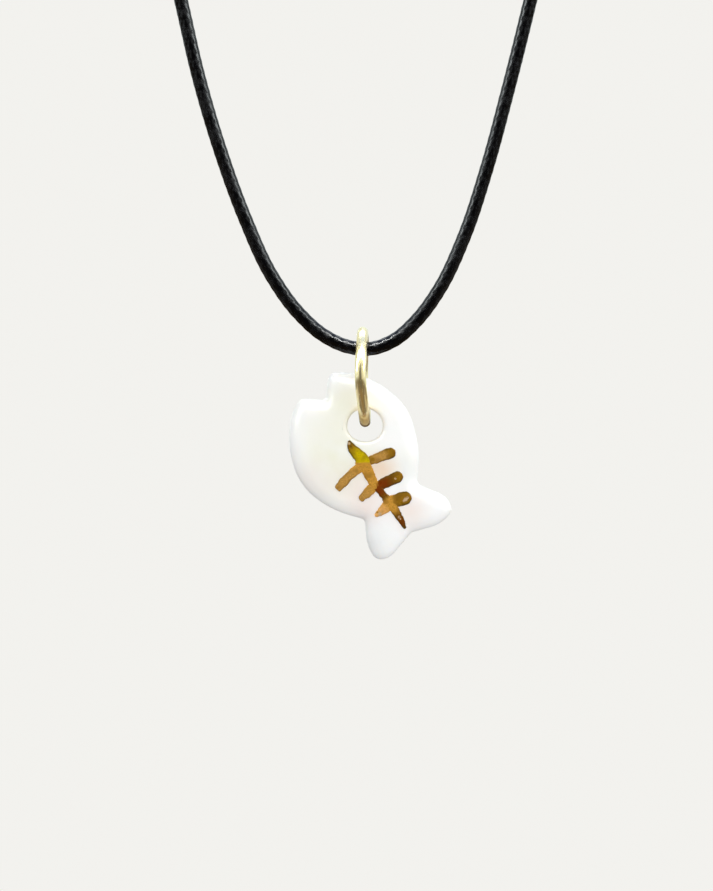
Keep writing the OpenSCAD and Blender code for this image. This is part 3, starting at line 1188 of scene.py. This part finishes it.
def build_fish():
    clay = bmesh.new()

    def placed(points, heights):
        return [
            clay.verts.new((EYE_CENTRE.x + x * MM, y * MM, EYE_CENTRE.z + z * MM))
            for (x, z), y in zip(points, heights)
        ]

    def strip(first, second):
        for k in range(len(first)):
            after = (k + 1) % len(first)
            clay.faces.new((first[k], first[after], second[after], second[k]))

    shared = placed(edge_rings[0], np.zeros(len(edge_rings[0])))
    holes = []
    for side in (-1, 1):
        edges = [shared] + [placed(ring, side * face_height(ring, side)) for ring in edge_rings[1:]]
        eyes = [placed(ring, side * face_height(ring, side)) for ring in eye_rings]
        field = edges[-1] + eyes[-1] + placed(inner, side * face_height(inner, side))
        for first, second in [*zip(edges, edges[1:]), *zip(eyes, eyes[1:])]:
            strip(first, second)
        for triangle in triangles:
            clay.faces.new([field[v] for v in triangle])
        holes.append(eyes[0])
    walls = [holes[0]]
    for step in range(1, WALL_STEPS):
        share = step / WALL_STEPS
        walls.append([clay.verts.new(a.co.lerp(b.co, share)) for a, b in zip(*holes)])
    for first, second in zip(walls, walls[1:] + [holes[1]]):
        strip(first, second)
    bmesh.ops.recalc_face_normals(clay, faces=clay.faces)
    for face in clay.faces:
        face.smooth = True
    mesh = bpy.data.meshes.new("porcelain_fish")
    clay.to_mesh(mesh)
    clay.free()
    return finished_piece("porcelain_fish", mesh)


fish = build_fish()
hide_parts("fish_charm")
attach(fish, "charm")

# %% [markdown]
# ## The glaze
#
# The white isn't one white: it is creamy on the body and has a breath of pink where the lustre was fired.
# A pale grey is painted shade on the lower fin, the belly and the right side by the fin's root, and the pink
# on the belly is painted shade too. Each tint is a soft spot on the fish, broken up by a slow noise, because
# a painted map would be tied to one size.

# %% The tints of the glaze
PORCELAIN_WHITE = (0.9, 0.9, 0.89, 1)
PORCELAIN_CREAM = (0.82, 0.815, 0.69, 1)
# a neutral grey that is painted shade on the lower fin, the belly and the right side by the fin's root
PORCELAIN_SHADE = (0.79, 0.8, 0.79, 1)
PORCELAIN_PINK = (0.82, 0.7, 0.64, 1)
PORCELAIN_AMBER = (0.8, 0.64, 0.5, 1)
# tint, then rows of across, up, reach, strength
TINTS = [
    (PORCELAIN_CREAM, [
        (-3.5, 0.5, 6.0, 0.6), (-2.6, -4.0, 6.0, 1.4), (-2.4, 2.6, 3.0, 0.6), (4.6, -4.4, 3.2, 0.4),
    ]),
    # painted shade: grey on the lower fin, the belly and the right side by the fin's root
    (PORCELAIN_SHADE, [(0.9, -12.2, 3.6, 0.8), (4.6, -4.8, 2.8, 0.7), (-5.4, -6.0, 3.6, 0.5)]),
    (PORCELAIN_PINK, [
        # the last pink spot, on the belly, is painted shade
        (-0.8, -6.4, 4.2, 0.6), (4.6, -9.0, 3.2, 0.7), (0.4, -8.6, 3.0, 0.6), (-5.3, -5.8, 3.6, 0.35),
    ]),
    (PORCELAIN_AMBER, [(1.7, -4.5, 2.6, 1.1)]),
]


def near_spot(tree, place, across, up, reach):
    """1 at a spot on the fish's face, in millimetres from the eye, and 0 beyond its reach."""
    middle = EYE_CENTRE + Vector((across, -FISH_HALF_THICK, up)) * MM
    return distance(tree, place, middle).between(reach * MM, 0.0)


print("glaze has", [len(spots) for _, spots in TINTS], "spots of its tints")

# %% [markdown]
# Porcelain is white clay that lets a little light in, under a thin satin glaze. Subsurface scattering gives
# the depth, a weak coat gives the satin skin, and very low bumps keep it from looking machined.

# %% The glaze
TINTS_PER_M, PITS_PER_M, WAVES_PER_M = 170.0, 2400.0, 380.0
PIT_SHARE = 0.06
GLAZE_BUMP, GLAZE_BUMP_STRENGTH = 0.05 * MM, 0.5
SATIN_ROUGH, SATIN_UNEVEN = 0.35, 0.1


def glaze_finish():
    finish, tree, surface = new_finish("porcelain")
    place = add(tree, "ShaderNodeTexCoord").outputs["Object"]
    cloud = speckle(tree, place, TINTS_PER_M, seed=5.0)
    body = PORCELAIN_WHITE
    for tint, spots in TINTS:
        for across, up, reach, strength in spots:
            share = near_spot(tree, place, across, up, reach) * strength
            body = mix_colour(tree, share * cloud.between(*MOSTLY), body, tint)
    fill(tree, surface, {
        "Base Color": body,
        "Roughness": cloud * SATIN_UNEVEN + SATIN_ROUGH,
        "Subsurface Weight": 0.25,
        "Subsurface Radius": (1.0, 0.85, 0.7),
        "Subsurface Scale": 0.9 * MM,
        "Specular IOR Level": 0.3,
        "Coat Weight": 0.15,
        "Coat Roughness": 0.2,
    })
    pits = speckle(tree, place, PITS_PER_M, detail=2.0, seed=6.0)
    waves = speckle(tree, place, WAVES_PER_M, detail=1.0, seed=7.0)
    raise_surface(tree, surface, waves + pits * PIT_SHARE, GLAZE_BUMP, GLAZE_BUMP_STRENGTH)
    return finish


glaze = glaze_finish()
fish.data.materials.append(glaze)
print("glaze has", len(glaze.node_tree.nodes), "nodes")

# %% [markdown]
# ## The gold fishbone
#
# The bones are brush strokes of liquid gold lustre: each starts round or pointed, swells and thins with the
# brush, pools darker at its edge, and changes from yellow to red-brown with how thick the gold lies. Its
# darker browns are in part painted reflection, the dark room that the metal film mirrors face on. So the
# gold isn't one colour but a small palette.

# %% The golds
GOLDS = {
    "yellow": (0.68, 0.5, 0.001),
    "ochre": (0.67, 0.33, 0.045),
    "tan": (0.6, 0.32, 0.07),
    "peach": (0.95, 0.5, 0.15),
    "olive": (0.33, 0.16, 0.008),
    "dark_olive": (0.11, 0.062, 0.008),
    # the darker browns are in part painted reflection of the dark room that the metal mirrors
    "red_brown": (0.22, 0.038, 0.001),
    "brown": (0.2, 0.08, 0.004),
    # a pale gold used for painted glints on the lustre
    "painted_glint": (0.62, 0.42, 0.23),
}

reddest = max(GOLDS, key=lambda name: GOLDS[name][0] / GOLDS[name][1])
print("of", len(GOLDS), "golds the reddest is", reddest)

# %% [markdown]
# A stroke is a row of listed places, in millimetres from the middle of the eye, with the width of the
# brush there, how strongly its edge is pooled, and its gold. Later strokes lie over earlier ones.

# %% Chart the brush strokes
# across, up, width, pooled edge, gold
STROKES = {
    "rib_1_right": [
        (0.4, -3.7, 0.9, 0.3, "olive"), (1.28, -3.38, 1.06, 0.7, "tan"), (2.02, -3.08, 1.12, 0.9, "tan"),
        (2.64, -2.86, 1.18, 1.0, "olive"),
    ],
    "rib_1_left": [
        (-0.4, -4.25, 1.1, 0.0, "ochre"), (-1.49, -5.1, 0.95, 0.4, "tan"), (-2.16, -5.8, 0.98, 0.5, "tan"),
        (-2.8, -6.5, 0.84, 0.7, "tan"),
    ],
    "rib_2_right": [
        (1.35, -6.4, 1.0, 0.6, "red_brown"), (2.17, -5.98, 1.2, 0.8, "red_brown"),
        (2.84, -5.65, 1.22, 1.0, "brown"), (3.4, -5.41, 1.2, 1.0, "olive"),
    ],
    "rib_2_left": [
        (0.9, -6.35, 1.1, 0.0, "ochre"), (0.2, -7.1, 1.0, 0.4, "tan"), (-0.34, -7.62, 0.78, 0.7, "tan"),
    ],
    "rib_3_right": [
        (2.7, -8.05, 1.3, 0.0, "ochre"), (3.4, -7.85, 1.4, 0.7, "olive"), (4.22, -7.62, 1.42, 1.0, "olive"),
    ],
    "rib_3_left": [
        (2.5, -8.3, 1.3, 0.0, "ochre"), (1.84, -8.92, 1.02, 0.3, "peach"), (1.24, -9.38, 0.5, 0.5, "peach"),
    ],
    "spine_tail": [
        (2.6, -8.2, 1.1, 0.0, "ochre"), (3.14, -8.84, 0.86, 0.6, "ochre"), (3.5, -9.45, 0.78, 1.0, "brown"),
        (3.93, -10.18, 0.64, 1.0, "red_brown"), (4.18, -10.74, 0.34, 1.0, "dark_olive"),
    ],
    "spine_middle": [
        (0.95, -6.05, 0.95, 0.2, "ochre"), (1.3, -6.5, 0.76, 0.7, "red_brown"),
        (1.68, -6.98, 0.72, 0.8, "red_brown"), (2.1, -7.5, 0.76, 0.4, "brown"),
        (2.36, -7.86, 1.0, 0.0, "ochre"), (2.8, -8.4, 1.16, 0.0, "ochre"),
    ],
    "spine_upper": [
        (-0.2, -3.7, 1.3, 0.0, "ochre"), (0.1, -4.4, 1.24, 0.0, "ochre"), (0.51, -5.25, 1.1, 0.2, "ochre"),
        (0.83, -5.92, 1.0, 0.2, "ochre"), (1.02, -6.3, 0.8, 0.2, "ochre"),
    ],
    "spine_head": [
        (-1.7, -1.6, 0.34, 1.0, "dark_olive"), (-1.46, -2.2, 0.86, 1.0, "olive"),
        (-0.84, -2.94, 1.26, 0.9, "yellow"), (-0.36, -3.5, 1.46, 0.5, "yellow"),
        (-0.26, -3.78, 1.56, 0.1, "yellow"), (-0.26, -3.94, 1.6, 0.0, "ochre"),
    ],
}
# how round each end is, from 1 for a half circle to near 0 for a straight cut: first end, last end
ENDS = {"rib_1_left": (1.0, 0.7), "rib_2_left": (1.0, 0.8), "spine_head": (0.5, 0.08)}
# across, up, reach, gold
SPOTS = [
    # the pale cream flecks are painted glints; the dark ones lie where the gold is thick
    (3.2, -5.56, 0.14, "painted_glint"), (4.12, -7.88, 0.18, "painted_glint"), (4.3, -7.74, 0.24, "painted_glint"),
    (4.48, -7.58, 0.18, "painted_glint"), (3.6, -9.62, 0.17, "painted_glint"), (3.74, -9.82, 0.1, "painted_glint"),
    (1.55, -9.3, 0.24, "painted_glint"), (1.3, -9.12, 0.13, "olive"), (-1.7, -1.84, 0.2, "painted_glint"),
    (-1.5, -2.15, 0.16, "dark_olive"), (0.8, -3.55, 0.28, "olive"),
]

print("fishbone has", len(STROKES), "strokes and", len(SPOTS), "flecks")

# %% [markdown]
# The cord's smooth line serves the brush too: it joins a stroke's places, and width, pool and gold pass
# evenly from one place to the next. The width wavers a little, as a hand does, and each end is closed by
# what a brush leaves past its last place.

# %% Draw a stroke
EDGE_WOBBLE, EDGE_WOBBLE_SIZE = 0.09, 0.7
STEPS_PER_STROKE_SPAN = 16
END_TURNS = [math.radians(turn) for turn in (15, 30, 45, 58, 70, 80, 87)]
ROUND_ENDS = (1.0, 1.0)


def stroke_points(rows, first_round, last_round):
    """Places along a stroke with its half width, pooled edge and gold, and both its ends."""
    spots = [Vector((row[0], 0, row[1])) for row in rows]
    last_way = (spots[-1] - spots[-2]).normalized()
    ways = ways_along(spots, (spots[1] - spots[0]).normalized())[:-1] + [last_way]
    made = []
    for k, place in enumerate(smooth_line(spots, ways, STEPS_PER_STROKE_SPAN)):
        row = min(k // STEPS_PER_STROKE_SPAN, len(rows) - 2)
        t = k / STEPS_PER_STROKE_SPAN - row
        here, there = rows[row], rows[row + 1]
        wobble = 1 + EDGE_WOBBLE * noise.noise(place / EDGE_WOBBLE_SIZE)
        half = (here[2] * (1 - t) + there[2] * t) / 2 * wobble
        pool = here[3] * (1 - t) + there[3] * t
        gold = [a * (1 - t) + b * t for a, b in zip(GOLDS[here[4]], GOLDS[there[4]])]
        made.append((place, half, pool, gold))
    return with_end(with_end(made, last_round)[::-1], first_round)[::-1]


def with_end(made, roundness):
    """Adds what a brush leaves past the last place of a stroke: a half circle, or a straighter cut."""
    place, half, pool, gold = made[-1]
    way = (place - made[-2][0]).normalized()
    tip = [
        (place + way * half * roundness * math.sin(turn), half * math.cos(turn) ** roundness, pool, gold)
        for turn in END_TURNS
    ]
    return made + tip


drawn_strokes = {name: stroke_points(rows, *ENDS.get(name, ROUND_ENDS)) for name, rows in STROKES.items()}
print("places along each stroke:", {name: len(made) for name, made in drawn_strokes.items()})

# %% [markdown]
# A tree lays every stroke on the fish. It sweeps a circle along the stroke's line, as wide as the brush
# there, and pushes its sides in and out with a fine noise, as bristles leave them. Then it casts a ray onto
# the fish's own painted face and flattens the circle into a thin film that follows it. In this way the
# strokes lie on the soft form, with its crown and its dips, and not on a flat plane in front of it.

# %% The tree of the strokes
BRISTLES_PER_M = 2300.0
RAY_FROM, RAY_LENGTH = -0.01, 0.02


def lustre_tree():
    tree, entry = new_tree("lustre_strokes", {
        "Fish": "Object", "Film": "Float", "Ragged": "Float", "Sides": "Int", "Finish": "Material",
    })

    def read(name):
        return add(tree, "GeometryNodeInputNamedAttribute", {"Name": name}, data_type="FLOAT").outputs[0]

    lines = add(tree, "GeometryNodeMeshToCurve", {"Mesh": entry["Geometry"]})
    swept = add(tree, "GeometryNodeCurveToMesh", {
        "Curve": lines.outputs[0], "Profile Curve": circle(tree, entry["Sides"], 1.0),
        "Scale": read("half_width"), "Fill Caps": True,
    })
    x, y, z = split(tree, add(tree, "GeometryNodeInputPosition").outputs[0])
    rise = y / read("half_width")
    settings = {"Vector": joined(tree, x, z=z), "Scale": BRISTLES_PER_M, "Detail": 2.0}
    bristle = split(tree, add(tree, "ShaderNodeTexNoise", settings).outputs["Color"])
    across = (bristle[0] - 0.5) * entry["Ragged"] + x
    upward = (bristle[1] - 0.5) * entry["Ragged"] + z
    target = add(tree, "GeometryNodeObjectInfo", {"Object": entry["Fish"]}).outputs["Geometry"]
    ray = add(tree, "GeometryNodeRaycast", {
        "Target Geometry": target, "Source Position": joined(tree, across, RAY_FROM, upward),
        "Ray Direction": (0, 1, 0), "Ray Length": RAY_LENGTH,
    })
    face = split(tree, ray.outputs["Hit Position"])[1]
    landed = joined(tree, across, rise * entry["Film"] + face - read("lift"), upward)
    crowned = store_value(tree, swept.outputs[0], "FLOAT", "POINT", "crown", rise * -1.0)
    laid = add(tree, "GeometryNodeSetPosition", {"Geometry": crowned, "Position": landed})
    close_tree(tree, laid.outputs[0], entry["Finish"])
    return tree


lustre_strokes = lustre_tree()
print("lustre's tree holds", len(lustre_strokes.nodes), "nodes")

# %% [markdown]
# Fired gold lustre is part metal. It is darker where it pools at a stroke's edge, mottled in the middle,
# and has a few dark flecks where it lies thick, and pale flecks that are painted glints. The pool, the gold
# and the height of the film come from the mesh, so they follow the brush.

# %% The lustre's finish
MOTTLED_GOLD = (0.12, 0.05, 0.004, 1)
POOLED_GOLD = (0.09, 0.055, 0.008, 1)
MOTTLES_PER_M, FINE_PER_M = 1500.0, 3400.0
MOTTLE_SHARE, MOTTLE_DEPTH, POOL_SHARE = 0.85, 0.5, 0.9
POOL_SPAN, POOL_UNEVEN = (0.85, 0.4), 0.4
FLECK_SPREAD, FLECK_EDGE, FLECK_GRAIN = 1.6, (0.25, 0.75), (0.35, 0.5)
LUSTRE_ROUGH, LUSTRE_UNEVEN = 0.15, 0.3
LUSTRE_BUMP, FINE_SHARE = 0.009 * MM, 0.2


def lustre_finish():
    finish, tree, surface = new_finish("gold_lustre")
    place = add(tree, "ShaderNodeTexCoord").outputs["Object"]
    gold = add(tree, "ShaderNodeAttribute", attribute_name="gold").outputs["Color"]
    pool = Number(tree, add(tree, "ShaderNodeAttribute", attribute_name="pool").outputs["Fac"])
    crown = Number(tree, add(tree, "ShaderNodeAttribute", attribute_name="crown").outputs["Fac"])
    mottle = speckle(tree, place, MOTTLES_PER_M, seed=8.0)
    fine = speckle(tree, place, FINE_PER_M, seed=9.0)
    darker = mix_colour(tree, MOTTLE_DEPTH, gold, MOTTLED_GOLD)
    worked = mix_colour(tree, mottle.between(*SPECKLE_SPAN) * MOTTLE_SHARE, gold, darker)
    for across, up, reach, name in SPOTS:
        fleck = near_spot(tree, place, across, up, reach * FLECK_SPREAD).between(*FLECK_EDGE)
        worked = mix_colour(tree, fleck * fine.between(*FLECK_GRAIN), worked, (*GOLDS[name], 1))
    edge = (crown + (mottle - 0.5) * POOL_UNEVEN).between(*POOL_SPAN) * pool
    fill(tree, surface, {
        "Base Color": mix_colour(tree, edge * POOL_SHARE, worked, POOLED_GOLD),
        "Metallic": 0.3,
        "Specular IOR Level": 0.1,
        "Roughness": mottle * LUSTRE_UNEVEN + LUSTRE_ROUGH,
    })
    raise_surface(tree, surface, mottle + fine * FINE_SHARE, LUSTRE_BUMP)
    return finish


gold_lustre = lustre_finish()
print("lustre has", len(gold_lustre.node_tree.nodes), "nodes")

# %% [markdown]
# All strokes go into one mesh of bare edges, which carries the brush's width, the pool, the gold and the
# layer at each place. Each stroke lies four thousandths of a millimetre over the one before, so that
# crossings never flicker.

# %% Lay the strokes on the face
RAGGED = 0.22 * MM
FILM = 0.055 * MM
LAYER = 0.004 * MM
STROKE_SIDES = 20
THINNEST = 0.01


def stroke_lines():
    """The strokes' lines as bare edges, with what each place needs written into the mesh."""
    points, edges, halves, pools, golds, lifts = [], [], [], [], [], []
    for order, made in enumerate(drawn_strokes.values()):
        edges += [(len(points) + k, len(points) + k + 1) for k in range(len(made) - 1)]
        for place, half, pool, gold in made:
            points.append(EYE_CENTRE + place * MM)
            halves.append(max(half, THINNEST) * MM)
            pools.append(pool)
            golds += [*gold, 1.0]
            lifts.append(order * LAYER)
    lines = wire_mesh("stroke_lines", points, edges)
    for name, kind, values in (
        ("half_width", "FLOAT", halves), ("pool", "FLOAT", pools), ("lift", "FLOAT", lifts),
        ("gold", "FLOAT_COLOR", golds),
    ):
        layer = lines.data.attributes.new(name, kind, "POINT")
        layer.data.foreach_set("color" if kind == "FLOAT_COLOR" else "value", values)
    return lines


fishbone = grow("gold_fishbone", stroke_lines(), lustre_strokes, {
    "Fish": fish, "Film": FILM, "Ragged": RAGGED, "Sides": STROKE_SIDES, "Finish": gold_lustre,
})
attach(fishbone, "charm")
